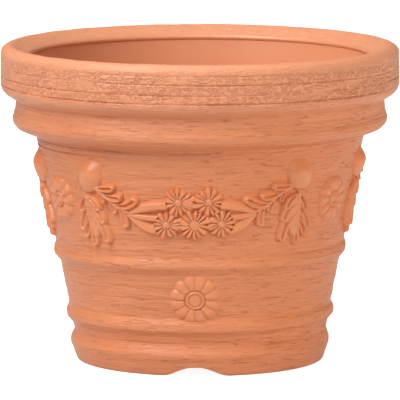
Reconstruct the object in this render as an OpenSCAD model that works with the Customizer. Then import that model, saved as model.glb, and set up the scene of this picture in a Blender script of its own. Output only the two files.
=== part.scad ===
// Round garden pot with an in-turned rim, a rolled shoulder, two hoops and a garland
// moulded into the wall, and the loose grate that keeps soil off its drain holes.
// Millimetres, +Z up. The origin is the centre of the ring that the pot stands on.
// The front, with a garland, a medallion and a notch in the foot, faces -Y.

/* [Pot] */
// Height from the ground to the crown of the rim
pot_h = 302; // [285:1:340]
// Thickness of the moulded wall
wall_t = 3.2; // [2.4:0.1:3.8]

/* [Collar] */
// Outer diameter of the collar
rim_d = 380; // [370:1:420]
// Height of the collar, from its underside to the crown
collar_h = 48; // [42:1:60]
// Rounding of the collar's top edge
crown_r = 8.5; // [6:0.5:10]
// Rounding of the collar's lower edge
collar_edge_r = 12; // [6:0.5:16]

/* [Lip] */
// Width of the rim's top, from the collar's side in to the mouth
rim_w = 29.5; // [26:0.5:37]
// Height from the top of the lip up to the crown
lip_drop = 7.2; // [5:0.2:12]
// Thickness of the rolled bead on the lip
lip_t = 5.8; // [4:0.2:8]

/* [Roll] */
// How far the roll lies inside the collar's side
roll_step = 11.5; // [9:0.5:17]
// How far the neck between the roll and the collar lies inside the collar's side
neck_step = 14; // [12:0.5:20]
// Height of the roll, from its underside to the collar
roll_h = 35.5; // [30:0.5:46]
// Rounding of the roll's lower edge
roll_edge_r = 16; // [8:1:20]

/* [Wall] */
// Diameter of the plain wall where it meets the roll
wall_top_d = 312; // [300:1:322]
// Diameter of the plain wall where it meets the foot
wall_low_d = 241; // [234:1:250]

/* [Hoops] */
// Height of the middle of the upper hoop
upper_hoop_z = 107.5; // [102:0.5:112]
// Height of the middle of the lower hoop
lower_hoop_z = 47; // [43:0.5:50]
// Height of one hoop
hoop_h = 19; // [12:1:24]
// How far a hoop stands out of the wall
hoop_proud = 3.6; // [2:0.2:5]

/* [Foot] */
// Height of the swelling round the foot
foot_h = 29; // [24:1:32]
// Diameter of the foot on the ground
foot_d = 229; // [222:1:234]
// Radius of the swelling's outline
foot_round = 22; // [20:1:30]
// Width of the ring that the pot stands on
foot_ring_w = 12; // [9:0.5:15]
// Height of the floor's underside above the ground
floor_lift = 8; // [7:0.5:12]
// Thickness of the floor
floor_t = 3.5; // [2.5:0.1:5]
// Number of notches that let water out under the foot
notches = 3; // [2:1:4]
// Width of a notch on the ground
notch_w = 57; // [40:1:64]
// Width of the flat top of a notch
notch_top_w = 22; // [12:1:28]
// Height of a notch
notch_h = 7.2; // [4:0.2:7.6]
// Turn of the notches from the front, in degrees
notch_turn = 1; // [-10:1:10]

/* [Drain holes] */
// Diameter of the hole in the middle of the floor
centre_hole_d = 24; // [14:1:30]
// Diameter of each outer drain hole
drain_hole_d = 14; // [8:1:18]
// Number of outer drain holes
drain_holes = 6; // [4:1:9]
// Diameter of the circle that the outer drain holes lie on
drain_circle_d = 124; // [90:1:150]

/* [Drain grate] */
// Gap between the grate and the edge of the raised floor
grate_edge_gap = 6; // [3:0.5:12]
// Thickness of the grate's bars
grate_t = 3; // [2:0.2:5]
// Width of the grate's bars
bar_w = 4; // [3:0.2:5]
// Distance from one ring of the grate to the next
ring_pitch = 11; // [8:0.5:16]
// Number of spokes
spokes = 12; // [8:1:16]
// Diameter of the solid middle of the grate
hub_d = 26; // [18:1:34]
// Height of the grate's legs
leg_h = 10; // [6:1:16]
// Diameter of a leg
leg_d = 9; // [6:0.5:12]
// Distance from the grate's edge to a leg
leg_inset = 2.3; // [2.1:0.2:3.3]
// Width of the pad round a leg's top
leg_pad_w = 1.5; // [1:0.1:1.9]
// Number of legs
legs = 6; // [3:1:8]

/* [Garland] */
// Number of garlands round the pot
garlands = 3; // [2:1:3]
// Turn of the garlands from the front, in degrees
garland_turn = -2; // [-10:1:10]
// Distance along the wall from a garland's middle to each knob
knob_reach = 104; // [96:1:112]
// Height of the knobs
knob_z = 190; // [186:1:194]
// Diameter of a knob
knob_d = 29; // [22:1:34]
// How far a knob stands out of the wall
knob_proud = 7; // [4:0.5:9]
// Height of the upper row of daisies
daisy_z = 168.5; // [164:0.5:172]
// Height from the lower row of daisies to the upper one
daisy_drop = 21.5; // [19:0.5:25]
// Distance along the wall between daisies of a row
daisy_pitch = 26; // [25:0.5:30]
// Diameter of a daisy
daisy_d = 28; // [20:1:30]
// Number of petals of a daisy
daisy_petals = 12; // [8:1:14]
// Diameter of a daisy's middle
daisy_hub_d = 6.6; // [4:0.2:9]
// Height of a daisy over the wall
daisy_proud = 4.5; // [2.5:0.5:6]
// Distance along the wall from a garland's middle to where a branch forks
fork_reach = 60; // [55:1:66]
// Height of the fork
fork_z = 157; // [153:0.5:161]
// Length of a leaf
leaf_l = 19; // [15:1:23]
// Width of a leaf
leaf_w = 9; // [6:0.5:11]
// Height of a leaf over the wall
leaf_proud = 3.4; // [2:0.2:5]
// Length of the sprig that hangs from a knob
sprig_l = 54; // [48:1:58]
// How far the sprig's tip leans towards the garland's middle
sprig_lean = 10; // [6:1:14]

/* [Rosettes and medallions] */
// Diameter of the rosette between two garlands
rosette_d = 44; // [34:1:50]
// Height of the rosettes
rosette_z = 165; // [160:1:170]
// Number of petals of a rosette
rosette_petals = 9; // [7:1:11]
// Diameter of a rosette's middle
rosette_hub_d = 17; // [12:0.5:22]
// Diameter of the medallion below each garland
medallion_d = 47; // [36:1:50]
// Height of the medallions
medallion_z = 75; // [73:1:78]
// Number of petals of a medallion
medallion_petals = 12; // [9:1:14]
// Diameter of a medallion's middle
medallion_hub_d = 20; // [14:0.5:24]
// Height of rosettes and medallions over the wall
rosette_proud = 5; // [3:0.5:7]

/* [Hidden] */

pot_colour = "#e0915f";
grate_colour = "#8a5540";
cut_past = 2;            // how far a cutter runs past what it cuts
round_sides = 96;        // sides of a full turn in the preview
relief_root = 2.2;       // how deep the garland's pieces root in the wall
front = -90;             // direction of the pot's front in the plan

rim_r = rim_d / 2;
mouth_r = rim_r - rim_w;
roll_r = rim_r - roll_step;
neck_r = rim_r - neck_step;
collar_z = pot_h - collar_h;
roll_z = collar_z - roll_h;
floor_z = floor_lift + floor_t;

// The plain wall is one cone from the foot to the roll.
draft = atan((wall_top_d - wall_low_d) / 2 / (roll_z - foot_h));
function wall_r(z) = wall_low_d / 2 + (z - foot_h) * tan(draft);

// The crown's centre and the lip's centre. The flange between them leans so that
// its upper face touches the crown's rounding.
crown_c = [rim_r - crown_r, pot_h - crown_r];
lip_c = [mouth_r + lip_t / 2, pot_h - lip_drop - lip_t / 2];
flange_dx = crown_c[0] - lip_c[0];
flange_dz = crown_c[1] - lip_c[1];
flange_slope = asin((crown_r - wall_t / 2) / norm([flange_dx, flange_dz])) + atan(flange_dz / flange_dx);
flange_up = [-sin(flange_slope), cos(flange_slope)];

// The foot's outline is one arc from the ground to the wall.
foot_low = [foot_d / 2, 0];
foot_top = [wall_r(foot_h), foot_h];
foot_chord = norm(foot_top - foot_low);
foot_in = [-(foot_top[1] - foot_low[1]), foot_top[0] - foot_low[0]] / foot_chord;
foot_c = (foot_low + foot_top) / 2 + foot_in * sqrt(pow(foot_round, 2) - pow(foot_chord / 2, 2));
recess_r = foot_d / 2 - foot_ring_w;
plateau_r = recess_r + wall_t;

grate_r = plateau_r - grate_edge_gap;
leg_circle_r = grate_r - leg_inset - leg_d / 2;

$fn = round_sides;

// Half of the pot's section, from the axis out to a line that lies skin inside the
// outer face. Skin 0 gives the outside and skin wall_t the hollow.
module section(skin) {
    wall_skin = skin / cos(draft);
    crown_touch = crown_c + flange_up * (crown_r - skin);
    lip_touch = lip_c + flange_up * (wall_t / 2 - skin);
    // Collar with its crown and the flange down to the lip
    polygon([
        [0, collar_z + collar_edge_r],
        [rim_r - skin, collar_z + collar_edge_r],
        [rim_r - skin, crown_c[1]],
        crown_c,
        crown_touch,
        lip_touch,
        [0, lip_touch[1]]
    ]);
    translate(crown_c) circle(crown_r - skin);
    translate([0, collar_z + skin]) square([rim_r - collar_edge_r, collar_edge_r]);
    translate([rim_r - collar_edge_r, collar_z + collar_edge_r]) circle(collar_edge_r - skin);
    // Roll, which runs up under the collar
    polygon([
        [0, roll_z + skin],
        [roll_r - roll_edge_r, roll_z + skin],
        [roll_r - skin, roll_z + roll_edge_r],
        [neck_r - skin, collar_z + skin],
        [neck_r - skin, collar_z + collar_edge_r],
        [0, collar_z + collar_edge_r]
    ]);
    translate([roll_r - roll_edge_r, roll_z + roll_edge_r]) circle(roll_edge_r - skin);
    // Plain wall
    polygon([
        [0, foot_c[1]],
        [wall_r(foot_c[1]) - wall_skin, foot_c[1]],
        [wall_r(roll_z + roll_edge_r / 2) - wall_skin, roll_z + roll_edge_r / 2],
        [0, roll_z + roll_edge_r / 2]
    ]);
    for (z = [lower_hoop_z, upper_hoop_z])
        hoop_section(z, skin);
}

// A hoop's outline is one arc that stands hoop_proud out of the wall.
module hoop_section(z, skin) {
    arc_r = (pow(hoop_h / 2, 2) + pow(hoop_proud, 2)) / (2 * hoop_proud);
    depth = arc_r - hoop_proud;
    translate([wall_r(z) - depth * cos(draft), z + depth * sin(draft)]) circle(arc_r - skin);
}

// The foot: its swelling and, for the hollow, the gutter round the raised floor.
module foot_section(skin) {
    intersection() {
        union() {
            translate(foot_c) circle(foot_round - skin);
            translate([0, skin]) square([foot_c[0], foot_h]);
        }
        translate([0, skin]) square([rim_r, foot_c[1] + foot_round]);
    }
}

// The inner wall runs straight down from the lip and meets the outer one below the roll.
// Collar and roll are closed hollow rings between the two.
module inner_wall_section() {
    polygon([
        [lip_c[0] - wall_t / 2, lip_c[1]],
        [lip_c[0] + wall_t / 2, lip_c[1]],
        [wall_r(roll_z), roll_z],
        [wall_r(roll_z) - wall_t / cos(draft), roll_z]
    ]);
}

module outside() {
    rotate_extrude() {
        section(0);
        foot_section(0);
    }
}

module hollow() {
    difference() {
        rotate_extrude() {
            difference() {
                union() {
                    section(wall_t);
                    foot_section(wall_t);
                }
                square([plateau_r, floor_z]);
                inner_wall_section();
            }
        }
        // The gutter rises over each notch, so that the wall there stays whole.
        each_notch() notch_bar(wall_t);
    }
}

module each_notch() {
    for (i = [0 : notches - 1])
        rotate([0, 0, front + notch_turn + i * 360 / notches]) children();
}

// A notch's outline is flat on top, with sides that ease down to the ground.
function notch_side(skin) = [
    for (t = [0 : 1 / 8 : 1])
        [
            (notch_top_w + (notch_w - notch_top_w) * t) / 2 + skin,
            (notch_h + skin) * (1 + cos(180 * t)) / 2
        ]
];

module notch_bar(skin) {
    side = notch_side(skin);
    last = len(side) - 1;
    outline = concat(
        [for (p = side) p],
        [[side[last][0], -cut_past], [-side[last][0], -cut_past]],
        [for (i = [0 : last]) [-side[last - i][0], side[last - i][1]]]
    );
    translate([recess_r - cut_past, 0, 0])
        rotate([90, 0, 90])
            linear_extrude(foot_c[0] + foot_round - recess_r + 2 * cut_past)
                polygon(outline);
}

// A point on the wall: along is the distance round the wall from the garland's
// middle, up is the height and out is the distance outwards from the wall.
function on_wall(along, up, out) =
    let (
        angle = along / wall_r(up) * 180 / PI,
        r = wall_r(up) + out * cos(draft)
    )
    [r * cos(angle), r * sin(angle), up - out * sin(draft)];

// Faces that join a stack of closed rings of n points each
function band_faces(rings, n) = [
    for (j = [0 : rings - 2], i = [0 : n - 1])
        let (
            a = j * n + i,
            b = j * n + (i + 1) % n
        )
        each [[a, a + n, b], [a + n, b + n, b]]
];

// Faces from a ring of n points, counted from first, to one point at its middle
function cap_faces(first, n, middle, up) = [
    for (i = [0 : n - 1])
        up
            ? [first + i, middle, first + (i + 1) % n]
            : [first + (i + 1) % n, middle, first + i]
];

// A round flower: petals round a raised hub. Each petal takes three points of a ring:
// the valley before it and its two shoulders.
module flower(centre, d, petals, proud, hub_d) {
    n = petals * 3;
    reach = [0.8, 1, 1];     // valleys end short of the shoulders
    swell = [0.45, 1, 1];    // and lie lower
    side_share = 0.35;       // height of a petal's outer edge
    crest_share = 0.75;      // where a petal is highest, as a share of its length
    dip_share = 0.55;        // height of the groove round the hub
    rim = [for (i = [0 : n - 1]) d / 2 * reach[i % 3]];
    points = concat(
        [for (i = [0 : n - 1]) petal_point(centre, rim[i], i, n, -relief_root)],
        [for (i = [0 : n - 1]) petal_point(centre, rim[i], i, n, proud * side_share)],
        [for (i = [0 : n - 1]) petal_point(centre, rim[i] * crest_share, i, n, proud * swell[i % 3])],
        [for (i = [0 : n - 1]) petal_point(centre, hub_d / 2, i, n, proud * dip_share)],
        [on_wall(centre[0], centre[1], -relief_root), on_wall(centre[0], centre[1], proud)]
    );
    faces = concat(
        band_faces(4, n),
        cap_faces(0, n, 4 * n, false),
        cap_faces(3 * n, n, 4 * n + 1, true)
    );
    polyhedron(points, faces);
}

// A point of a flower at distance r from its centre. The points of a petal lie
// a little closer together at its valley.
function petal_point(centre, r, i, n, out) =
    let (a = (floor(i / 3) * 3 + [0, 0.85, 2.15][i % 3]) * 360 / n)
    on_wall(centre[0] + r * cos(a), centre[1] + r * sin(a), out);

// A leaf, narrow at its root and broad near its round tip: a keel and two falling sides
module leaf(root, tip, w) {
    run = tip - root;
    side = [-run[1], run[0]] / norm(run);
    steps = 3;
    edge_share = 0.4;        // height of the leaf's sides against its keel
    points = [
        for (k = [0 : steps])
            let (
                t = k / steps,
                c = root + run * t,
                half = w / 2 * sin(20 + 125 * t),
                top = leaf_proud * (0.65 + 0.35 * sin(30 + 120 * t)),
                left = c - side * half,
                right = c + side * half
            )
            each [
                on_wall(left[0], left[1], -relief_root),
                on_wall(left[0], left[1], top * edge_share),
                on_wall(c[0], c[1], top),
                on_wall(right[0], right[1], top * edge_share),
                on_wall(right[0], right[1], -relief_root)
            ]
    ];
    last = steps * 5;
    ends = [
        [2, 1, 0], [3, 2, 0], [4, 3, 0],
        [last, last + 1, last + 2], [last, last + 2, last + 3], [last, last + 3, last + 4]
    ];
    polyhedron(points, concat(band_faces(steps + 1, 5), ends));
}

// The step along the wall of a length in a direction: 0 is away from the garland's
// middle and 90 is up.
function stride(angle, l) = l * [cos(angle), sin(angle)];

// The sprig that hangs from a knob: leaves down both sides of a stem, one at its tip
module sprig() {
    stem_top = [knob_reach + knob_d / 8, knob_z - knob_d / 2];
    stem = [-sprig_lean, -sprig_l];
    outer_dir = -52;         // direction of the leaves away from the garland's middle
    inner_dir = -143;        // and of those towards it
    inner_l = leaf_l * 1.15; // these are a little longer
    tip_root = 0.5;          // where on the stem the leaf at its tip starts
    leaf_pairs = 3;
    for (i = [0 : leaf_pairs - 1]) {
        at = stem_top + stem * i / (leaf_pairs + 1);
        leaf(at, at + stride(outer_dir, leaf_l), leaf_w);
        leaf(at, at + stride(inner_dir, inner_l), leaf_w);
    }
    leaf(stem_top + stem * tip_root, stem_top + stem, leaf_w);
}

// The branch from a knob to the daisies: leaves on both sides, then three ribbons
module branch() {
    root = [knob_reach - knob_d / 3, knob_z - knob_d / 3];
    fork = [fork_reach, fork_z];
    first_root = 0.1;        // where the first pair starts, as a share of the step to the next
    upper_dir = 172;         // direction of the first upper leaf, and its turn to the next
    upper_turn = -14;
    lower_dir = -118;        // the same for the lower leaves, which are shorter
    lower_turn = 12;
    upper_size = 0.9;
    lower_size = 0.78;
    stem_w = leaf_w * 0.6;
    ribbon_w = leaf_w * 0.8;
    leaf_pairs = 3;
    ribbons = 3;
    for (i = [0 : leaf_pairs - 1]) {
        at = root + (fork - root) * (i + first_root) / leaf_pairs;
        leaf(at, at + stride(upper_dir + upper_turn * i, leaf_l * upper_size), leaf_w * upper_size);
        leaf(at, at + stride(lower_dir + lower_turn * i, leaf_l * lower_size), leaf_w * lower_size);
    }
    leaf(root, fork, stem_w);
    for (i = [0 : ribbons - 1])
        leaf(fork, [daisy_pitch, daisy_z - (daisy_drop + daisy_d / 3) * i / (ribbons - 1)], ribbon_w);
}

module knob() {
    ball_r = (pow(knob_d / 2, 2) + pow(knob_proud, 2)) / (2 * knob_proud);
    depth = ball_r - knob_proud;
    rotate([0, 0, knob_reach / wall_r(knob_z) * 180 / PI])
        translate([wall_r(knob_z) - depth * cos(draft), 0, knob_z + depth * sin(draft)])
            sphere(ball_r);
}

module half_garland() {
    knob();
    sprig();
    branch();
}

module daisies() {
    for (i = [-1 : 2 : 1])
        flower([i * daisy_pitch / 2, daisy_z], daisy_d, daisy_petals, daisy_proud, daisy_hub_d);
    for (i = [-1 : 1])
        flower([i * daisy_pitch, daisy_z - daisy_drop], daisy_d, daisy_petals, daisy_proud, daisy_hub_d);
}

module relief() {
    for (i = [0 : garlands - 1])
        rotate([0, 0, front + garland_turn + i * 360 / garlands]) {
            half_garland();
            mirror([0, 1, 0]) half_garland();
            daisies();
            flower([0, medallion_z], medallion_d, medallion_petals, rosette_proud, medallion_hub_d);
            rotate([0, 0, 180 / garlands])
                flower([0, rosette_z], rosette_d, rosette_petals, rosette_proud, rosette_hub_d);
        }
}

module drain_hole_cuts() {
    translate([0, 0, floor_lift - cut_past]) {
        cylinder(h = floor_t + 2 * cut_past, d = centre_hole_d);
        for (i = [0 : drain_holes - 1])
            rotate([0, 0, front + i * 360 / drain_holes])
                translate([drain_circle_d / 2, 0, 0])
                    cylinder(h = floor_t + 2 * cut_past, d = drain_hole_d);
    }
}

module pot_shell() {
    color(pot_colour) {
        difference() {
            union() {
                outside();
                relief();
            }
            hollow();
            // Mouth, cut to the inner wall and, over it, to the middle of the lip's bead
            translate([0, 0, lip_c[1] - lip_t / 2])
                cylinder(h = lip_t, r = lip_c[0] - wall_t / 2);
            translate([0, 0, lip_c[1]])
                cylinder(h = collar_h, r = lip_c[0]);
            // Space under the raised floor
            translate([0, 0, -cut_past])
                cylinder(h = floor_lift + cut_past, r = recess_r);
            each_notch() notch_bar(0);
            drain_hole_cuts();
        }
        rotate_extrude() translate(lip_c) circle(lip_t / 2);
    }
}

// The grate from above: hub, rings and spokes, and a pad over each leg
module grating() {
    rings = floor((grate_r - hub_d / 2) / ring_pitch);
    circle(d = hub_d);
    for (i = [0 : rings - 1])
        difference() {
            circle(r = grate_r - i * ring_pitch);
            circle(r = grate_r - i * ring_pitch - bar_w);
        }
    for (i = [0 : spokes - 1])
        rotate(i * 360 / spokes)
            translate([0, -bar_w / 2])
                square([grate_r - bar_w / 2, bar_w]);
    each_leg() circle(d = leg_d + 2 * leg_pad_w);
}

module each_leg() {
    for (i = [0 : legs - 1])
        rotate((i + 0.5) * 360 / legs)
            translate([leg_circle_r, 0])
                children();
}

module drain_grate() {
    color(grate_colour)
        translate([0, 0, floor_z]) {
            translate([0, 0, leg_h]) linear_extrude(grate_t) grating();
            each_leg() cylinder(h = leg_h + grate_t / 2, d = leg_d);
        }
}

pot_shell();
drain_grate();
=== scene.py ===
# A round garden pot of terracotta-coloured plastic: collar, roll, wall and foot are one
# moulding, with garlands in relief on the wall, and a loose grate lies on its floor.
# Lengths are in millimetres until a mesh is finished, and in metres from then on.
import math

import bmesh
import bpy
import numpy as np
from mathutils import Matrix, Vector, noise


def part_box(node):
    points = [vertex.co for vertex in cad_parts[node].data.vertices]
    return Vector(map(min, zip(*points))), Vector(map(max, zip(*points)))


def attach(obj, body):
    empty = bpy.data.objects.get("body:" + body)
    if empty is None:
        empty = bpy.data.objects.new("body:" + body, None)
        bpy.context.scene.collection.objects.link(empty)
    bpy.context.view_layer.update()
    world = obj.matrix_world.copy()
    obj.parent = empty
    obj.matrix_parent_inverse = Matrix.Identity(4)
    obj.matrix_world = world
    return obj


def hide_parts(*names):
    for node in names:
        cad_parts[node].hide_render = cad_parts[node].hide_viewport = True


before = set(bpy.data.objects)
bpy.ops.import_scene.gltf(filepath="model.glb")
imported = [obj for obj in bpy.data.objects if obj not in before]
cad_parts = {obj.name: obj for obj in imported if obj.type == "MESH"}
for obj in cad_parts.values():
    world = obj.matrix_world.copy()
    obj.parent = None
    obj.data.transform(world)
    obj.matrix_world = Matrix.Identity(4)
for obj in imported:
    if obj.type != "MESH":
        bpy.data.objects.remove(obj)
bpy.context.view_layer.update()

MM = 0.001


# Camera
# A long lens from straight in front, a little above the rim, as for a catalogue picture.
# It looks at the pot's axis just above half its height.
aim = Vector((0, 0, 0.1518))
camera_distance = 5.734
camera_pitch = math.radians(7.65)
sensor_width = 36
focal_length = 540

camera = bpy.data.objects.new("camera", bpy.data.cameras.new("camera"))
bpy.context.scene.collection.objects.link(camera)
camera.location = aim + camera_distance * Vector((0, -math.cos(camera_pitch), math.sin(camera_pitch)))
camera.rotation_euler = (math.pi / 2 - camera_pitch, 0, 0)
camera.data.sensor_width = sensor_width
camera.data.lens = focal_length
camera.data.clip_end = 50
bpy.context.scene.camera = camera


# Terracotta plastic
# The pot is blown from coloured plastic. Outside, the mould leaves level brush strokes and
# a pitted grain. Inside, and on the relief, the skin is smooth. The attribute "worked" says
# how much of the strokes a place has. The colour holds painted shade in the pits and stroke
# dashes, and a painted sheen that pales the upper part of the pot.
terracotta = (0.742, 0.247, 0.096)
# Deep terracotta: used for the random tone, and as painted shade in the pits and stroke dashes.
terracotta_deep_and_shade = (0.540, 0.138, 0.044)
# Pale terracotta: used for the random dust, and as a painted sheen on the upper part of the pot.
terracotta_dust_and_sheen = (0.830, 0.395, 0.228)


def node_group(name, inputs, outputs):
    group = bpy.data.node_groups.new(name, "ShaderNodeTree")
    for socket_name, default in inputs:
        socket = group.interface.new_socket(socket_name, in_out="INPUT", socket_type="NodeSocketFloat")
        socket.default_value = default
    for socket_name in outputs:
        group.interface.new_socket(socket_name, in_out="OUTPUT", socket_type="NodeSocketFloat")
    return group


def put(tree, kind, links=None, values=None, **settings):
    """A node with its settings, its socket values and the sockets that feed it."""
    node = tree.nodes.new(kind)
    for key, value in settings.items():
        setattr(node, key, value)
    for key, value in (values or {}).items():
        node.inputs[key].default_value = value
    for key, source in (links or {}).items():
        tree.links.new(source, node.inputs[key])
    return node


def maths(tree, operation, a, b=None, clamp=False):
    """A Math node on sockets or plain numbers."""
    node = put(tree, "ShaderNodeMath", operation=operation, use_clamp=clamp)
    for index, value in enumerate((a, b)):
        if isinstance(value, bpy.types.NodeSocket):
            tree.links.new(value, node.inputs[index])
        elif value is not None:
            node.inputs[index].default_value = value
    return node.outputs[0]


def streaked_noise(tree, around, up, detail, tilt=0.0, waves=0.0):
    """Noise drawn out round the pot: around and up are its repeats in a metre. A tilt in
    degrees makes its streaks rise to the right, and waves make them curl."""
    place = put(tree, "ShaderNodeTexCoord").outputs["Object"]
    scaled = put(
        tree,
        "ShaderNodeMapping",
        {"Vector": place},
        {"Rotation": (0, -math.radians(tilt), 0), "Scale": (1 / around, 1 / around, 1 / up)},
        vector_type="TEXTURE",
    )
    return put(
        tree,
        "ShaderNodeTexNoise",
        {"Vector": scaled.outputs[0]},
        {"Scale": 1.0, "Detail": detail, "Roughness": 0.6, "Distortion": waves},
    ).outputs["Fac"]


def step_between(tree, value, low, high):
    """0 below low, 1 above high and smooth in between."""
    return put(
        tree,
        "ShaderNodeMapRange",
        {"Value": value},
        {"From Min": low, "From Max": high},
        interpolation_type="SMOOTHSTEP",
    ).outputs[0]


moulded_grain = node_group(
    "moulded_grain", [("Strokes", 1.0), ("Pits", 1.0)], ["Height", "Tone", "Painted_shade"]
)
tree = moulded_grain
grain_in = tree.nodes.new("NodeGroupInput")
long_strokes = streaked_noise(tree, 12, 200, 4, waves=0.3)
short_strokes = streaked_noise(tree, 52, 430, 3, waves=0.8)
dashes = step_between(tree, streaked_noise(tree, 55, 390, 2, waves=0.5), 0.61, 0.70)
stroke_height = maths(tree, "ADD", maths(tree, "MULTIPLY", long_strokes, 1.2), short_strokes)
stroke_height = maths(tree, "SUBTRACT", stroke_height, maths(tree, "MULTIPLY", dashes, 0.5))
stroke_height = maths(tree, "MULTIPLY", stroke_height, grain_in.outputs["Strokes"])
off_middle = maths(tree, "ABSOLUTE", maths(tree, "SUBTRACT", streaked_noise(tree, 150, 210, 2), 0.5))
worms = maths(tree, "SUBTRACT", 1.0, step_between(tree, off_middle, 0.005, 0.06))
ticks = step_between(tree, streaked_noise(tree, 130, 420, 2, tilt=38), 0.55, 0.66)
pitted_places = step_between(tree, streaked_noise(tree, 16, 80, 2), 0.28, 0.48)
pit_depth = maths(tree, "MULTIPLY", maths(tree, "MAXIMUM", worms, ticks), pitted_places)
pit_depth = maths(tree, "MULTIPLY", pit_depth, grain_in.outputs["Pits"])
height = maths(tree, "SUBTRACT", stroke_height, maths(tree, "MULTIPLY", pit_depth, 0.55))
clouds = maths(tree, "MULTIPLY", streaked_noise(tree, 9, 9, 2), 0.4)
tone = maths(tree, "ADD", maths(tree, "MULTIPLY", long_strokes, 0.6), clouds)
# Painted shade: the colour darkens in the stroke dashes and in the pits.
painted_dash_shade = maths(tree, "MULTIPLY", dashes, grain_in.outputs["Strokes"])
marks = maths(tree, "MAXIMUM", maths(tree, "MULTIPLY", painted_dash_shade, 0.22), pit_depth)
grain_out = tree.nodes.new("NodeGroupOutput")
tree.links.new(height, grain_out.inputs["Height"])
tree.links.new(tone, grain_out.inputs["Tone"])
tree.links.new(marks, grain_out.inputs["Painted_shade"])


def mix_colours(tree, factor, first, second):
    """One colour going over into another; each is a plain colour or a socket. A Mix node
    has its colours at inputs 6 and 7 and its result at output 2."""
    node = put(tree, "ShaderNodeMix", data_type="RGBA")
    tree.links.new(factor, node.inputs["Factor"])
    for index, value in ((6, first), (7, second)):
        if isinstance(value, bpy.types.NodeSocket):
            tree.links.new(value, node.inputs[index])
        else:
            node.inputs[index].default_value = (*value, 1)
    return node.outputs[2]


def new_material(name):
    material = bpy.data.materials.new(name)
    material.use_nodes = True
    return material, material.node_tree, material.node_tree.nodes["Principled BSDF"]


pot_material, tree, shader = new_material("terracotta_plastic")
worked = put(tree, "ShaderNodeAttribute", attribute_name="worked").outputs["Fac"]
place = put(tree, "ShaderNodeTexCoord").outputs["Object"]
up_the_pot = put(tree, "ShaderNodeSeparateXYZ", {"Vector": place}).outputs["Z"]
on_collar = step_between(tree, up_the_pot, 0.259, 0.267)
on_crown = step_between(tree, up_the_pot, 0.2895, 0.2945)
less_on_crown = maths(tree, "MULTIPLY", on_crown, 0.68)
pitting = maths(tree, "SUBTRACT", maths(tree, "MULTIPLY", on_collar, 0.85), less_on_crown)
pitting = maths(tree, "MULTIPLY", maths(tree, "ADD", pitting, 0.15), worked)
stroking = maths(tree, "SUBTRACT", 1.2, maths(tree, "MULTIPLY", on_collar, 0.6))
stroking = maths(tree, "MULTIPLY", stroking, worked)
grain = put(tree, "ShaderNodeGroup", {"Strokes": stroking, "Pits": pitting}, node_tree=moulded_grain)
toned = mix_colours(tree, step_between(tree, grain.outputs["Tone"], 0.40, 0.60), terracotta_deep_and_shade, terracotta)
plain = maths(tree, "SUBTRACT", 1.0, maths(tree, "MULTIPLY", worked, 0.18))
skin = mix_colours(tree, plain, toned, terracotta)
dust = maths(tree, "MULTIPLY", step_between(tree, grain.outputs["Tone"], 0.55, 0.8), 0.2)
# Painted sheen: the colour pales towards the top of the pot, inside and out, with the random dust added to
# it.
painted_top_sheen = maths(tree, "MULTIPLY", step_between(tree, up_the_pot, 0.215, 0.285), 0.42)
skin = mix_colours(tree, maths(tree, "ADD", dust, painted_top_sheen, clamp=True), skin, terracotta_dust_and_sheen)
# Painted shade: the colour darkens in the pits and stroke dashes.
skin = mix_colours(tree, maths(tree, "MULTIPLY", grain.outputs["Painted_shade"], 0.45), skin, terracotta_deep_and_shade)
tree.links.new(skin, shader.inputs["Base Color"])
tree.links.new(maths(tree, "ADD", maths(tree, "MULTIPLY", worked, 0.10), 0.36), shader.inputs["Roughness"])
bump = put(
    tree,
    "ShaderNodeBump",
    {"Height": grain.outputs["Height"]},
    {"Strength": 1.0, "Distance": MM},
)
tree.links.new(bump.outputs[0], shader.inputs["Normal"])
shader.inputs["Specular IOR Level"].default_value = 0.65


# Collar
# The broad band round the top of the moulding. Its upper edge turns in as a sloping flange
# with a rolled lip, from which the inner wall runs straight down to meet the outer one below
# the roll. The space between the two is hollow.
pot_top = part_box("pot_shell")[1]
rim_r = pot_top.x / MM
pot_h = pot_top.z / MM
wall_t = 3.2
lip_r = 163.4
lip_z = pot_h - 10.1
bead_r = 2.9
crown_r = 8.5
flange_slope = math.radians(27.4)
collar_low = 249.6
collar_low_r = 174.5
collar_low_slope = math.radians(32)
collar_edge_r = 12
joint_z = 218.5
joint_in = 153.6
joint_out = 156.9
inner_face_steps = 20
collar_segments = 440
collar_least_depth = 0.05


def rounded(corners):
    """The points of an outline through corners of (radius, height, rounding, spacing)."""
    stretches = []
    for i, (r, z, rounding, spacing) in enumerate(corners):
        here = Vector((r, z))
        if rounding == 0:
            stretches.append([here])
            continue
        back = (Vector(corners[i - 1][:2]) - here).normalized()
        ahead = (Vector(corners[i + 1][:2]) - here).normalized()
        turn = math.pi - back.angle(ahead)
        centre = here + (back + ahead).normalized() * rounding / math.cos(turn / 2)
        first = here + back * rounding * math.tan(turn / 2) - centre
        last = here + ahead * rounding * math.tan(turn / 2) - centre
        steps = max(2, math.ceil(rounding * turn / spacing))
        stretches.append([centre + rounding * first.slerp(last, k / steps) for k in range(steps + 1)])
    points = list(stretches[0])
    for corner, stretch in zip(corners, stretches[1:]):
        run = stretch[0] - points[-1]
        steps = max(1, math.ceil(run.length / corner[3]))
        points += [points[-1] + run * k / steps for k in range(1, steps)]
        points += stretch
    return points


def arc(centre, radius, start, end, steps):
    """Points on a circle between two directions in degrees."""
    turns = [math.radians(start + (end - start) * k / steps) for k in range(steps + 1)]
    return [Vector(centre) + radius * Vector((math.cos(t), math.sin(t))) for t in turns]


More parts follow.
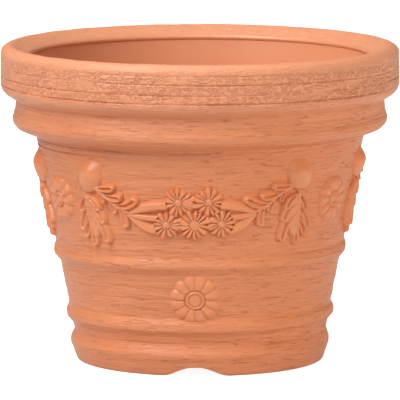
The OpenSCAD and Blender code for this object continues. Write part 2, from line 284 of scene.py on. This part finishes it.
def turned(outer, inner, segments, closed=True):
    """A bmesh turned from an outline. Its outer stretch carries the brush strokes."""
    bm = bmesh.new()
    layer = bm.verts.layers.float.new("worked")
    verts = []
    for stretch, strokes in ((outer, 1), (inner, 0)):
        for r, z in stretch:
            verts.append(bm.verts.new((r, 0, z)))
            verts[-1][layer] = strokes
    joined = zip(verts, verts[1:] + verts[:1]) if closed else zip(verts, verts[1:])
    edges = [bm.edges.new(pair) for pair in joined]
    bmesh.ops.spin(
        bm,
        geom=verts + edges,
        cent=(0, 0, 0),
        axis=(0, 0, 1),
        dvec=(0, 0, 0),
        angle=math.tau,
        steps=segments,
        use_merge=True,
    )
    return bm


def to_mesh(bm, name):
    """The mesh of a bmesh made in millimetres, with its normals outwards, still unscaled."""
    bmesh.ops.recalc_face_normals(bm, faces=bm.faces)
    mesh = bpy.data.meshes.new(name)
    bm.to_mesh(mesh)
    bm.free()
    return mesh


def read(mesh, field):
    """The places or normals of a mesh's vertices, three to a row."""
    values = np.zeros(len(mesh.vertices) * 3)
    mesh.vertices.foreach_get(field, values)
    return values.reshape(-1, 3)


def polar(places):
    """Angle from the front, radius and height of each place. The right is positive."""
    return np.arctan2(places[:, 0], -places[:, 1]), np.hypot(places[:, 0], places[:, 1]), places[:, 2]


def wander(angle, seed, reach, waves):
    """A smooth random line round the pot."""
    rng = np.random.default_rng(seed)
    total = np.zeros_like(angle)
    for k in range(1, waves + 1):
        total += rng.normal() / k * np.sin(k * angle + rng.uniform(0, math.tau))
    return total * reach


def brush_lines(angle, z, lines, seed):
    """Depth of the lines that the mould leaves round the pot: height, depth and width of each."""
    depth = np.zeros_like(angle)
    for i, (line_z, line_depth, width) in enumerate(lines):
        path = line_z + wander(angle, seed + 2 * i, 0.35, 40)
        strength = np.clip(0.75 + wander(angle, seed + 2 * i + 1, 0.55, 14), 0, 1.3)
        groove = np.exp(-(((z - path) / width) ** 2))
        burr = np.exp(-(((z - path + 2.2 * width) / width) ** 2))
        depth += strength * line_depth * (groove - 0.35 * burr)
    return depth


def dents(angle, r, z, low, high, count, seed):
    """Depth of small dents scattered between two heights."""
    rng = np.random.default_rng(seed)
    depth = np.zeros_like(angle)
    for _ in range(count):
        at, height = rng.uniform(-math.pi, math.pi), rng.uniform(low, high)
        long, tall, deep = rng.uniform(1.5, 5), rng.uniform(0.7, 1.4), rng.uniform(0.15, 0.4)
        away = (angle - at + math.pi) % math.tau - math.pi
        near = (np.abs(away) * r < 3 * long) & (np.abs(z - height) < 3 * tall)
        depth[near] += deep * np.exp(-((away[near] * r[near] / long) ** 2) - ((z[near] - height) / tall) ** 2)
    return depth


def ripple(places, around, up, deep):
    """Depth of the slow unevenness of the skin: repeats in a metre, round and up the pot."""
    scale = Vector((around, around, up)) * MM
    return np.array([deep * (0.5 + noise.noise(Vector(p) * scale)) for p in places])


lean_heights = (0, 47, 108, 175, 215, 250, 290)
lean_reach = (0, 1.2, 1.5, 3.0, 0.7, 0.6, 0)


def lean(angle, z):
    """How far the mouldings stand higher on the right than at the front."""
    return np.interp(z, lean_heights, lean_reach) * np.sin(angle)


def finish_piece(mesh, body, material, sharp=40):
    """A finished piece in metres that rides on its body."""
    mesh.transform(Matrix.Scale(MM, 4))
    mesh.polygons.foreach_set("use_smooth", [True] * len(mesh.polygons))
    mesh.set_sharp_from_angle(angle=math.radians(sharp))
    mesh.materials.append(material)
    mesh.update()
    piece = bpy.data.objects.new(mesh.name, mesh)
    bpy.context.scene.collection.objects.link(piece)
    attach(piece, body)
    return piece


def pressed(mesh, depth):
    """Moves the outside of a mesh inwards by a depth that its angle, radius and height give."""
    places = read(mesh, "co")
    strokes = np.array([value.value for value in mesh.attributes["worked"].data])
    angle, r, z = polar(places)
    moved = places - read(mesh, "normal") * (depth(places, angle, r, z) * strokes)[:, None]
    moved[:, 2] += lean(angle, z)
    mesh.vertices.foreach_set("co", moved.ravel())
    mesh.update()


flange_rise = math.tan(flange_slope)
flange_half = wall_t / 2 / math.cos(flange_slope)
flange_corner = lip_z + (rim_r - lip_r) * flange_rise + flange_half
bead_opening = math.degrees(math.acos(wall_t / 2 / bead_r))
flange_normal = 90 + math.degrees(flange_slope)
inner_lean = math.degrees(math.atan((lip_r - (joint_in + joint_out) / 2) / (lip_z - joint_z)))
bead_sunk = bead_r - wall_t / 2
bead_r_at = lip_r + bead_sunk * math.sin(flange_slope)
bead_z_at = lip_z - bead_sunk * math.cos(flange_slope)
bead = arc((bead_r_at, bead_z_at), bead_r, flange_normal, 180 - inner_lean + bead_opening, steps=14)

side_rise = math.tan(collar_low_slope)
low_corner = collar_low + (rim_r - collar_low_r) * side_rise
collar_low_skin = wall_t / math.cos(collar_low_slope)
collar_outside = rounded([
    (collar_low_r, collar_low, 0, 2.5),
    (rim_r, low_corner, collar_edge_r, 0.75),
    (rim_r, flange_corner, crown_r, 0.65),
    (*bead[0], 0, 1),
])
inner_r = rim_r - wall_t
collar_inside = rounded([
    (joint_in, joint_z, 0, 4),
    (joint_out, joint_z, 0, 4),
    (lip_r + 1.5, lip_z - 1.1, 0, 4),
    (inner_r, flange_corner - wall_t * flange_rise - 2 * flange_half, crown_r - wall_t, 2),
    (inner_r, low_corner - wall_t * side_rise + collar_low_skin, collar_edge_r - wall_t, 4),
    (collar_low_r - 1.6, collar_low - 1.6 * side_rise + collar_low_skin, 0, 4),
])

# Height, depth and width of the lines round the collar
collar_lines = [
    (291.3, 0.45, 0.6),
    (287.0, 0.2, 0.6),
    (283.0, 1.15, 0.6),
    (278.0, 0.2, 0.6),
    (273.4, 1.2, 0.6),
    (269.5, 0.15, 0.6),
    (265.4, 1.05, 0.6),
    (261.5, 0.15, 0.7),
]


def collar_depth(places, angle, r, z):
    """Lines and pocks on the collar's side, and unevenness on all of it but the lip."""
    side = np.clip((r - 178) / 8, 0, 1) * np.clip((293.5 - z) / 2, 0, 1)
    lines = brush_lines(angle, z, collar_lines, seed=11)
    pocks = 1.4 * dents(angle, r, z, low=262, high=290, count=420, seed=5)
    off_lip = np.clip((r - 165) / 5, 0, 1)
    uneven = off_lip * ripple(places, around=60, up=90, deep=0.4)
    return np.maximum(side * (lines + pocks) + uneven, collar_least_depth)


inner_end = Vector((joint_in, joint_z))
inner_face = [bead[-1].lerp(inner_end, k / inner_face_steps) for k in range(1, inner_face_steps)]
collar_bm = turned(collar_outside, bead[1:] + inner_face + collar_inside, collar_segments)
collar_mesh = to_mesh(collar_bm, "pot_collar")
pressed(collar_mesh, collar_depth)
collar = finish_piece(collar_mesh, "pot", pot_material)
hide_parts("pot_shell")


# Roll
# The rounded shoulder that runs up under the collar. It is part of the same moulding, with
# long level strokes and a few cracks in the strokes on its underside.
roll_under_angle = math.radians(20.5)
roll_under_slope = math.tan(roll_under_angle)
roll_low = 217.2
roll_low_r = 156.4
roll_start_r = 153.4
roll_segments = 520


def roll_under(r):
    """Height of the roll's underside at a radius."""
    return roll_low + (r - roll_low_r) * roll_under_slope


roll_skin = wall_t / math.cos(roll_under_angle)
roll_outside = rounded([
    (roll_start_r, roll_under(roll_start_r), 0, 1.2),
    (180.8, roll_under(180.8), 9.8, 0.7),
    (176.3, 242.5, 25, 1.2),
    (176.1, 250.9, 0, 1),
    (173.2, 252.3, 0, 1),
])
roll_inside = rounded([
    (170.6, 252.3, 0, 4),
    (172.9, 243.0, 22, 4),
    (176.2, roll_under(176.2) + roll_skin, 7.3, 3),
    (roll_start_r, roll_under(roll_start_r) + roll_skin, 0, 4),
])
roll_lines = [
    (247.5, 0.3, 0.7),
    (243.6, 0.35, 0.8),
    (240.2, 0.3, 0.7),
    (237.4, 0.3, 0.6),
    (234.6, 0.25, 0.6),
    (231.0, 0.3, 0.8),
    (226.0, 0.35, 0.8),
    (221.6, 0.5, 0.7),
    (218.2, 0.4, 0.7),
]


def roll_depth(places, angle, r, z):
    """Lines round the roll, slow unevenness, and a ragged edge where it meets the collar."""
    ragged_edge = np.clip((z - 247) / 2, 0, 1) * ripple(places, around=90, up=20, deep=0.5)
    lines = brush_lines(angle, z, roll_lines, seed=71)
    return lines + ripple(places, around=14, up=170, deep=0.5) + ragged_edge


roll_mesh = to_mesh(turned(roll_outside, roll_inside, roll_segments), "pot_roll")
pressed(roll_mesh, roll_depth)
finish_piece(roll_mesh, "pot", pot_material)


# Wall, hoops, foot and floor
# The plain cone with its two hoops and its swollen foot, all one thin skin. Inside, a gutter
# runs round the raised floor. Notches in the foot let the water out, and seven holes drain
# the floor.
ring_in_r = 102.5
plateau_r = ring_in_r + wall_t
floor_low = 8
floor_top = 11.5
notch_count = 3
notch_h = 8.8
notch_top_w = 6
notch_w = 68
notch_turn = math.radians(-2.0)
centre_hole_r = 12
drain_hole_r = 7
drain_circle_r = 62
drain_holes = 6
wall_segments = 330

wall_outside = rounded([
    (ring_in_r, floor_low, 0, 1.6),
    (ring_in_r, 0, 1.2, 2),
    (117.6, 0, 4, 1.1),
    (124.6, 20.0, 9, 1.2),
    (120.2, 30.3, 2.5, 1.0),
    (122.4, 38.0, 2.5, 0.9),
    (127.9, 44.0, 5, 0.9),
    (127.6, 50.5, 6, 0.9),
    (125.1, 55.5, 3, 1.5),
    (133.6, 97.6, 2.5, 0.9),
    (139.9, 105.0, 4.5, 0.9),
    (139.4, 110.5, 5, 0.9),
    (138.0, 115.0, 3, 1.5),
    (joint_out - 0.1, joint_z, 0, 1),
])
wall_inside = rounded([
    (joint_in, joint_z, 0, 7),
    (136.4, 109.0, 6, 5),
    (130.3, 97.6, 8, 7),
    (121.9, 55.5, 5, 4),
    (123.9, 47.0, 8, 4),
    (117.3, 33.0, 6, 4),
    (120.6, 19.5, 11, 3),
    (115.0, wall_t, 2, 3),
    (plateau_r, wall_t, 1.2, 3),
    (plateau_r, floor_top, 1, 2),
    (ring_in_r, floor_top, 0, 1),
])


def open_loop(bm, height):
    """The open edges of the turned skin at one height."""
    return [e for e in bm.edges if e.is_boundary and all(abs(v.co.z - height) < 0.01 for v in e.verts)]


def hole_rings(bm, height):
    """The outlines of all the drain holes at one height."""
    middle = Matrix.Translation((0, 0, height))
    outwards = Matrix.Translation((0, -drain_circle_r, 0))
    holes = [(centre_hole_r, middle)]
    for i in range(drain_holes):
        turn = Matrix.Rotation(math.tau * i / drain_holes, 4, "Z")
        holes.append((drain_hole_r, middle @ turn @ outwards))
    rings = []
    for radius, place in holes:
        made = bmesh.ops.create_circle(bm, cap_ends=False, segments=40, radius=radius, matrix=place)
        rings.append(list(dict.fromkeys(e for v in made["verts"] for e in v.link_edges)))
    return rings


def add_floor(bm):
    """Closes the turned skin with a floor that has its drain holes."""
    levels = []
    for height, normal in ((floor_low, (0, 0, -1)), (floor_top, (0, 0, 1))):
        rings = hole_rings(bm, height)
        edges = open_loop(bm, height) + [e for ring in rings for e in ring]
        bmesh.ops.triangle_fill(bm, edges=edges, use_beauty=True, normal=normal)
        levels.append(rings)
    for low, high in zip(*levels):
        bmesh.ops.bridge_loops(bm, edges=low + high)


def open_notches(mesh):
    """Lifts the foot's ring, and the gutter over it, into the outline of each notch."""
    places = read(mesh, "co")
    strokes = np.array([value.value for value in mesh.attributes["worked"].data])
    angle, r, z = polar(places)
    share = math.tau / notch_count
    away = (angle - notch_turn + share / 2) % share - share / 2
    ease = np.clip((np.abs(away) * r - notch_top_w / 2) / ((notch_w - notch_top_w) / 2), 0, 1)
    arch = notch_h * (1 + np.cos(math.pi * ease)) / 2
    arch += np.where(strokes > 0, 0, wall_t * np.clip(arch, 0, 1))
    ring = r > ring_in_r - 1
    places[ring, 2] = np.maximum(z, arch)[ring]
    mesh.vertices.foreach_set("co", places.ravel())
    mesh.update()


wall_lines = [
    (215.3, 0.7, 0.5),
    (210.4, 0.9, 0.6),
    (205.0, 0.2, 0.8),
    (198.5, 0.15, 0.8),
]


def wall_depth(places, angle, r, z):
    """Dents, deeper on the right, lines under the roll, and slow unevenness."""
    right = np.clip(np.sin(angle - 0.2), 0, 1)
    marks = 1.3 * dents(angle, r, z, low=58, high=212, count=420, seed=23) * (0.5 + right)
    marks += brush_lines(angle, z, wall_lines, seed=131)
    uneven = ripple(places, around=45, up=120, deep=0.45)
    uneven = uneven + ripple(places, around=12, up=210, deep=0.4) - 0.25
    return np.clip(z / 6, 0, 1) * np.clip((r - 112) / 3, 0, 1) * (marks + uneven)


wall_bm = turned(wall_outside, wall_inside, wall_segments, closed=False)
add_floor(wall_bm)
wall_mesh = to_mesh(wall_bm, "pot_wall")
pressed(wall_mesh, wall_depth)
open_notches(wall_mesh)
finish_piece(wall_mesh, "pot", pot_material)


# Moulded relief
# Garlands, knobs, rosettes and medallions stand out of the wall as one skin with it. They are
# smoother than the wall. Each is a closed patch whose edge lies inside the wall's thickness.
relief_step = 0.6
relief_root = -1.2
relief_back = -2.3
relief_worked = 0.32
far_below = -9.0
# How far a rise square to the wall goes out, and how far down
rise_out = 0.983
rise_down = 0.18
garland_turn = math.radians(-2.4)
garland_count = 3


def along(u, v, start, end):
    """How far along a line each place lies, its distance from the line, and its side of it."""
    du, dv = end[0] - start[0], end[1] - start[1]
    length = math.hypot(du, dv)
    t = np.clip(((u - start[0]) * du + (v - start[1]) * dv) / length**2, 0, 1)
    side = ((u - start[0]) * dv - (v - start[1]) * du) / length
    return t, np.hypot(u - start[0] - t * du, v - start[1] - t * dv), side


def swell(level):
    """A rounded rise from an edge at 0 to a crest at 1. It goes on down outside the edge."""
    return np.sin(math.pi / 2 * np.clip(level, -0.6, 1))


def smooth_step(value, low, high):
    t = np.clip((value - low) / (high - low), 0, 1)
    return t * t * (3 - 2 * t)


def stroke(u, v, points, widths, proud, groove=0.0, slit=0.25, low_root=0.0, overhang=0.0):
    """Height of a rounded ridge through points, with its half width at each. A groove runs
    along it and ends in a round hollow. low_root is how much lower the ridge starts, and
    overhang how much higher its lower side is."""
    level = np.full_like(u, far_below)
    hollow = np.zeros_like(u)
    crest = np.full_like(u, proud)
    stretches = len(points) - 1
    for i in range(stretches):
        t, away, side = along(u, v, points[i], points[i + 1])
        reach = widths[i] + (widths[i + 1] - widths[i]) * t
        here = 1 - away / reach > level
        level = np.where(here, 1 - away / reach, level)
        run = (i + t) / stretches
        past_end = np.sqrt(np.clip(away**2 - side**2, 0, None)) / reach
        channel = np.exp(-((side / (slit * reach)) ** 2) - (past_end / 0.3) ** 2)
        hollow = np.where(here, smooth_step(run, 0.06, 0.25) * channel, hollow)
        tipped = 1 - overhang * np.clip(side / reach, -1, 1)
        crest = np.where(here, proud * (1 - low_root * (1 - run)) * tipped, crest)
    return crest * swell(1.7 * level) - groove * hollow * (level > 0)


def leaf(u, v, root, tip, half_w, bend, proud, groove, slit, overhang):
    """Height of a spoon-shaped leaf, narrow at its root, that bends to one side."""
    du, dv = tip[0] - root[0], tip[1] - root[1]
    points = []
    for k in range(7):
        t = k / 6
        bulge = 4 * bend * t * (1 - t)
        points.append((root[0] + t * du - bulge * dv, root[1] + t * dv + bulge * du))
    widths = [half_w * (0.38 + 0.62 * smooth_step(k / 6, 0, 0.75)) for k in range(7)]
    return stroke(u, v, points, widths, proud, groove, slit, 0.25, overhang)


def flower(u, v, radius, petals, proud, hub_r, hub_proud, sharpness, edge):
    """Height of a flower of ridged petals round a hub, and the distance from its centre."""
    out = np.hypot(u, v)
    ridge = np.abs(np.cos((np.arctan2(u, v) - math.pi / petals) * petals / 2))
    reach = radius * (0.86 + 0.14 * ridge**0.4)
    level = swell((reach - out) / (edge * radius))
    petal = proud * np.where(level > 0, level * (0.3 + 0.7 * ridge**sharpness), level)
    petal *= 0.6 + 0.4 * np.clip(out / radius, 0, 1)
    by_hub = 0.35 + 0.65 * smooth_step(out, hub_r, 1.18 * hub_r)
    petal = np.where(out < radius, petal * by_hub, petal)
    dome = hub_proud * np.sqrt(np.clip(1 - (out / hub_r) ** 2, 0, 1))
    return np.maximum(petal, np.where(out < hub_r, dome, far_below)), out


def daisy(u, v, centre, radius, petals, proud, hub_r, hub_rise, seed):
    """Height of a daisy of slender petals, no two alike, and the distance from its centre."""
    du, dv = u - centre[0], v - centre[1]
    out = np.hypot(du, dv)
    turn = np.arctan2(du, dv)
    turn = turn + 0.09 * np.sin(2 * turn + seed) + 0.05 * np.sin(5 * turn + 2 * seed)
    apart = np.arccos(np.abs(np.cos(turn * petals / 2))) / (math.pi / 2)
    longest = radius * (1 + 0.06 * np.sin(3 * turn + 3 * seed) + 0.04 * np.sin(7 * turn + seed))
    slender = 1 - 0.45 * smooth_step(out, 0.4 * radius, radius)
    across = 1 - apart / slender
    rounded_off = swell(4.5 * (longest * (1 - 0.10 * apart) - out) / radius)
    ridge = np.sin(math.pi / 2 * np.clip(1.5 * across, 0, 1))
    petal = proud * rounded_off * np.where(rounded_off > 0, 0.3 + 0.7 * ridge, 1)
    petal += 4 * np.clip(across, -0.6, 0) * smooth_step(out, 0.5 * radius, 0.85 * radius)
    petal *= 0.7 + 0.3 * smooth_step(out, 0, 0.7 * radius)
    dome = proud * (0.5 + hub_rise * np.sqrt(np.clip(1 - (out / hub_r) ** 2, 0, 1)))
    return np.maximum(petal, np.where(out < hub_r, dome, far_below)), out


def laid_over(top, out, radius, below):
    """A flower on what lies below it: its grooves stay open, and its edge runs into the rest."""
    return np.where(out < 0.8 * radius, top, np.maximum(top, below))


def wall_radius(v):
    """The wall's radius between its mouldings."""
    return np.where(v > 102, 138.0 + 0.1828 * (v - 115), 125.1 + 0.2019 * (v - 55.5))


def relief_patch(name, centre_angle, width, low, high, height):
    """A closed patch of relief. The function height takes places across and up the wall."""
    columns, rows = round(width / relief_step), round((high - low) / relief_step)
    bm = bmesh.new()
    bmesh.ops.create_grid(bm, x_segments=columns, y_segments=rows, size=0.5)
    grid = np.array([v.co[:2] for v in bm.verts])
    grid = grid / (2 * np.abs(grid).max(axis=0)) * (width, high - low) + (0, (low + high) / 2)
    heights = height(grid[:, 0], grid[:, 1])
    for vert, place, rise in zip(bm.verts, grid, heights):
        vert.co = (*place, rise)
    bmesh.ops.delete(bm, geom=[v for v in bm.verts if v.co.z < relief_root], context="VERTS")
    made = bmesh.ops.extrude_face_region(bm, geom=bm.faces[:], use_keep_orig=True)
    for item in made["geom"]:
        if isinstance(item, bmesh.types.BMVert):
            item.co.z = relief_back
    layer = bm.verts.layers.float.new("worked")
    for vert in bm.verts:
        vert[layer] = relief_worked - 0.05 * min(max(vert.co.z, 0), 4)
    mesh = to_mesh(bm, name)
    u, v, rise = read(mesh, "co").T
    angle = centre_angle + u / wall_radius(v)
    r = wall_radius(v) + rise * rise_out
    z = v - rise * rise_down
    z += lean(angle, z)
    mesh.vertices.foreach_set("co", np.column_stack((r * np.sin(angle), -r * np.cos(angle), z)).ravel())
    mesh.update()
    return finish_piece(mesh, "pot", pot_material, sharp=180)


# Root, tip, half width, bend and height of each leaf
sprig_leaves = [
    ((104.5, 172.0), (93.0, 161.8), 4.5, -0.12, 4.9),
    ((105.0, 164.5), (89.0, 149.9), 5.0, -0.13, 4.9),
    ((104.8, 155.5), (85.2, 132.4), 5.5, -0.13, 4.8),
    ((104.8, 146.0), (100.6, 127.4), 4.9, -0.04, 4.4),
]
outer_leaves = [
    ((107.3, 172.0), (114.2, 159.2), 4.6, 0.08, 4.8),
    ((106.6, 161.5), (115.6, 141.6), 5.3, 0.08, 4.8),
    ((105.6, 149.5), (111.2, 134.8), 4.6, 0.06, 4.2),
]
upper_leaves = [
    ((97.0, 181.0), (80.2, 181.4), 4.6, 0.02, 4.2),
    ((87.0, 175.5), (70.4, 172.6), 5.0, 0.05, 4.2),
    ((75.0, 166.5), (54.4, 170.2), 5.7, 0.15, 4.3),
]
lower_leaves = [
    ((93.5, 178.5), (87.0, 168.8), 3.2, -0.06, 3.8),
    ((83.0, 172.5), (74.8, 159.8), 3.9, -0.10, 3.9),
    ((72.0, 164.5), (64.4, 147.6), 4.8, -0.12, 4.0),
]
# Points and half widths of the ribbons behind the daisies
ribbons = [
    ([(60, 158.6), (46, 164.0), (33, 166.6), (20, 167.0)], (1.7, 5.2, 5.4, 4.4)),
    ([(60, 157.6), (47, 155.4), (35, 154.4), (24, 155.0)], (1.7, 3.5, 3.6, 3.0)),
    ([(60, 156.6), (49, 148.6), (40, 144.2), (26, 142.4)], (1.7, 5.0, 5.6, 4.6)),
]
sway_heights = (130, 146, 158, 174, 183)
sway_reach = (0.2, -0.9, -2.2, -2.8, 0)
rise_heights = (140, 150, 160, 168, 183)
rise_gain = (1, 0.95, 1.0, 1.3, 1.42)
knob_at = (107.0, 192.5)
knob_half_w = 14.8
knob_up = 13.6
knob_down = 17.0
knob_proud = 7.8
knob_squareness = 0.25


def sprig_height(u, v):
    """The half of a garland that hangs from one knob. The sides of a garland are alike, but
    the sprigs were pushed a little to the left when the pattern was set."""
    u = np.abs(u - np.interp(v, sway_heights, sway_reach))
    height = stroke(u, v, [(105, 168), (102, 159), (99, 148), (99, 137)], (6, 9.5, 10, 6), 3.2)
    for leaves, groove, slit, overhang in (
        (sprig_leaves, 2.7, 0.24, 0.3),
        (outer_leaves, 4.0, 0.42, 0.0),
        (upper_leaves, 2.9, 0.24, 0.25),
        (lower_leaves, 2.6, 0.34, 0.0),
    ):
        for root, tip, half_w, bend, proud in leaves:
            height = np.maximum(height, leaf(u, v, root, tip, half_w, bend, proud, groove, slit, overhang))
    for points, widths in ribbons:
        height = np.maximum(height, stroke(u, v, points, widths, 3.8, overhang=0.25))
    stems = np.maximum(
        stroke(u, v, [(106.5, 173), (105.8, 157), (104.3, 138)], (2.2, 1.8, 1.0), 3.9),
        stroke(u, v, [(97, 181), (82.6, 172.2), (72.2, 164.4), (59, 158)], (2.2, 2.0, 1.9, 1.9), 3.2),
    )
    height = np.maximum(height, stems)
    return np.where(height > 0, height * np.interp(v, rise_heights, rise_gain), height)


def knob_height(u, v, below):
    """A smooth knob that runs into the wall above and ends in a crease below."""
    across, up = np.abs(np.abs(u) - knob_at[0]) / knob_half_w, v - knob_at[1]
    along_up = np.abs(up) / np.where(up > 0, knob_up, knob_down)
    across_2, up_2 = np.clip(across, 0, 1) ** 2, np.clip(along_up, 0, 1) ** 2
    out_2 = across_2 + up_2 - knob_squareness * across_2 * up_2
    outside = np.clip(np.maximum(np.sqrt(out_2), np.maximum(across, along_up)) - 1, 0, None)
    fullness = np.interp(up / knob_down, (-0.9, 0, 0.75), (0.55, 0.9, 1.4))
    knob = knob_proud * np.clip(1 - out_2, 0, 1) ** fullness - 20 * outside
    return np.maximum(knob, below)


# Place across and up, radius, petals, height, hub's radius and rise, and seed of each daisy
daisies = [
    (-13.8, 169.4, 14.6, 13, 3.9, 3.3, 0.65, 1.0),
    (14.4, 169.4, 14.6, 13, 3.9, 3.3, 0.65, 2.2),
    (-25.0, 147.7, 14.4, 13, 3.9, 3.3, 0.65, 3.1),
    (26.0, 148.2, 14.4, 13, 3.9, 3.3, 0.65, 4.4),
    (1.0, 148.1, 15.4, 14, 4.5, 4.8, 0.40, 5.2),
]
# Start, middle, end and half width of the petals that join one daisy to the next
bridges = [
    ((-9.0, 170.8), (0.3, 173.6), (9.6, 170.8), 2.9),
    ((-9.0, 168.4), (0.3, 166.2), (9.6, 168.4), 2.7),
    ((-18.0, 150.6), (-12.0, 153.2), (-5.6, 150.6), 2.6),
    ((-18.0, 147.4), (-12.0, 145.8), (-5.6, 147.2), 2.4),
    ((18.6, 150.8), (13.2, 153.4), (7.4, 150.6), 2.6),
    ((18.6, 147.6), (13.2, 145.8), (7.4, 147.2), 2.4),
]


def garland_height(u, v):
    """Height of a garland: sprigs and knobs, then the daisies and what joins them."""
    height = knob_height(u, v, sprig_height(u, v))
    for across, up, radius, petals, proud, hub_r, hub_rise, seed in daisies:
        top, out = daisy(u, v, (across, up), radius, petals, proud, hub_r, hub_rise, seed)
        height = laid_over(top, out, radius, height)
    for start, middle, end, half_w in bridges:
        joined = stroke(u, v, [start, middle, end], (0.35 * half_w, half_w, 0.35 * half_w), 3.8)
        height = np.maximum(height, joined)
    return height


def ringed_flower(u, v, radius, petals, proud, ring_r, ring_w, sharpness, edge):
    """Height of a flower whose hub is a flat ring round a disc."""
    hub_r = ring_r + ring_w
    top, out = flower(u, v, radius, petals, proud, hub_r, 0.35 * proud, sharpness, edge)
    ring = 0.88 * proud * np.cos(math.pi / 2 * np.clip((out - ring_r) / ring_w, -1, 1)) ** 0.6
    disc = 0.76 * proud * (1 - smooth_step(out, ring_r - ring_w - 0.3, ring_r - ring_w + 0.7))
    return np.where(out < hub_r, np.maximum(top, np.maximum(ring, disc)), top)


def medallion_height(u, v):
    return ringed_flower(
        u - 0.8,
        v - 74.5,
        radius=23.8,
        petals=12,
        proud=3.6,
        ring_r=7.4,
        ring_w=1.8,
        sharpness=0.32,
        edge=0.3,
    )


# The pattern isn't set evenly: the first rosette, on the right, sits lower than the others,
# and the garland on the right stands further round.
rosette_levels = (162.0, 165.0, 165.0)
garland_shift = (0, math.radians(2.5), 0)
for i in range(garland_count):
    facing = garland_turn + math.tau * i / garland_count
    between = facing + math.pi / garland_count

    def rosette_height(u, v, level=rosette_levels[i]):
        return ringed_flower(
            u,
            v - level,
            radius=21.8,
            petals=10,
            proud=4.4,
            ring_r=5.6,
            ring_w=2.0,
            sharpness=0.5,
            edge=0.3,
        )

    placed = facing + garland_shift[i]
    relief_patch(f"garland_{i + 1}", placed, width=250, low=118, high=212, height=garland_height)
    relief_patch(f"medallion_{i + 1}", facing, width=54, low=48, high=101, height=medallion_height)
    relief_patch(f"rosette_{i + 1}", between, width=52, low=136, high=191, height=rosette_height)


# Drain grate
# The loose grating on the floor, pressed from darker plastic. It stands on six legs, so that
# the soil stays off the drain holes.
grate_brown = (0.165, 0.055, 0.030)
grate_dusty = (0.260, 0.120, 0.075)

grate_material, tree, shader = new_material("grate_plastic")
grain = put(tree, "ShaderNodeGroup", values={"Strokes": 0.15, "Pits": 1.0}, node_tree=moulded_grain)
scuffs = step_between(tree, grain.outputs["Tone"], 0.42, 0.7)
tree.links.new(mix_colours(tree, scuffs, grate_brown, grate_dusty), shader.inputs["Base Color"])
tree.links.new(maths(tree, "ADD", maths(tree, "MULTIPLY", scuffs, 0.2), 0.42), shader.inputs["Roughness"])
bump = put(tree, "ShaderNodeBump", {"Height": grain.outputs["Height"]}, {"Strength": 0.4, "Distance": 0.0005})
tree.links.new(bump.outputs[0], shader.inputs["Normal"])
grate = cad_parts["drain_grate"]
grate.data.materials.clear()
grate.data.materials.append(grate_material)


# Studio
# A white sweep that shows as plain white but keeps the pot's shadow. Softboxes light the pot
# from the left, from above and from the front, and a low narrow one from the right.
sweep_white = (0.6, 0.6, 0.6)
sweep_glow = 0.92
sweep_in_mirrors = 0.4
backdrop_light = 0.20


def softbox(name, azimuth, elevation, distance, width, height, power):
    """A rectangular lamp aimed at the pot: angles in degrees, lengths in metres, power in
    watts. Azimuth runs from the front to the right."""
    lamp = bpy.data.objects.new(name, bpy.data.lights.new(name, "AREA"))
    lamp.data.shape = "RECTANGLE"
    lamp.data.size = width
    lamp.data.size_y = height
    lamp.data.energy = power
    across, up = math.radians(azimuth), math.radians(elevation)
    towards = Vector((math.sin(across) * math.cos(up), -math.cos(across) * math.cos(up), math.sin(up)))
    lamp.location = aim + towards * distance
    lamp.rotation_euler = towards.to_track_quat("Z", "Y").to_euler()
    bpy.context.scene.collection.objects.link(lamp)
    return lamp


softbox("key", -48, 36, 3.2, 1.5, 1.3, 55)
softbox("high_key", -42, 58, 3.2, 1.5, 1.3, 21)
softbox("front", 8, 34, 3.0, 1.6, 1.2, 14)
softbox("top", -75, 75, 3.0, 2.0, 2.0, 44)
side = softbox("side", 68, 1, 3.0, 1.2, 0.4, 38)
side.visible_glossy = False

floor_mesh = bpy.data.meshes.new("floor")
bm = bmesh.new()
bmesh.ops.create_grid(bm, x_segments=1, y_segments=1, size=30)
bm.to_mesh(floor_mesh)
bm.free()
floor = bpy.data.objects.new("floor", floor_mesh)
bpy.context.scene.collection.objects.link(floor)

floor_material, tree, shader = new_material("studio_floor")
shader.inputs["Base Color"].default_value = (*sweep_white, 1)
shader.inputs["Roughness"].default_value = 0.9
shader.inputs["Specular IOR Level"].default_value = 0.1
rays = put(tree, "ShaderNodeLightPath")
seen = maths(tree, "MULTIPLY", rays.outputs["Is Camera Ray"], sweep_glow)
mirrored = maths(tree, "MULTIPLY", rays.outputs["Is Glossy Ray"], sweep_in_mirrors)
shader.inputs["Emission Color"].default_value = (1, 1, 1, 1)
tree.links.new(maths(tree, "ADD", seen, mirrored), shader.inputs["Emission Strength"])
floor_mesh.materials.append(floor_material)

world = bpy.data.worlds.new("studio")
bpy.context.scene.world = world
world.use_nodes = True
tree = world.node_tree
backdrop = tree.nodes["Background"]
rays = put(tree, "ShaderNodeLightPath")
seen = maths(tree, "ADD", rays.outputs["Is Camera Ray"], rays.outputs["Is Transmission Ray"], clamp=True)
glow = maths(tree, "MULTIPLY", seen, 0.80)
tree.links.new(maths(tree, "ADD", glow, backdrop_light), backdrop.inputs["Strength"])
backdrop.inputs["Color"].default_value = (1, 1, 1, 1)
bpy.context.scene.view_settings.view_transform = "Standard"
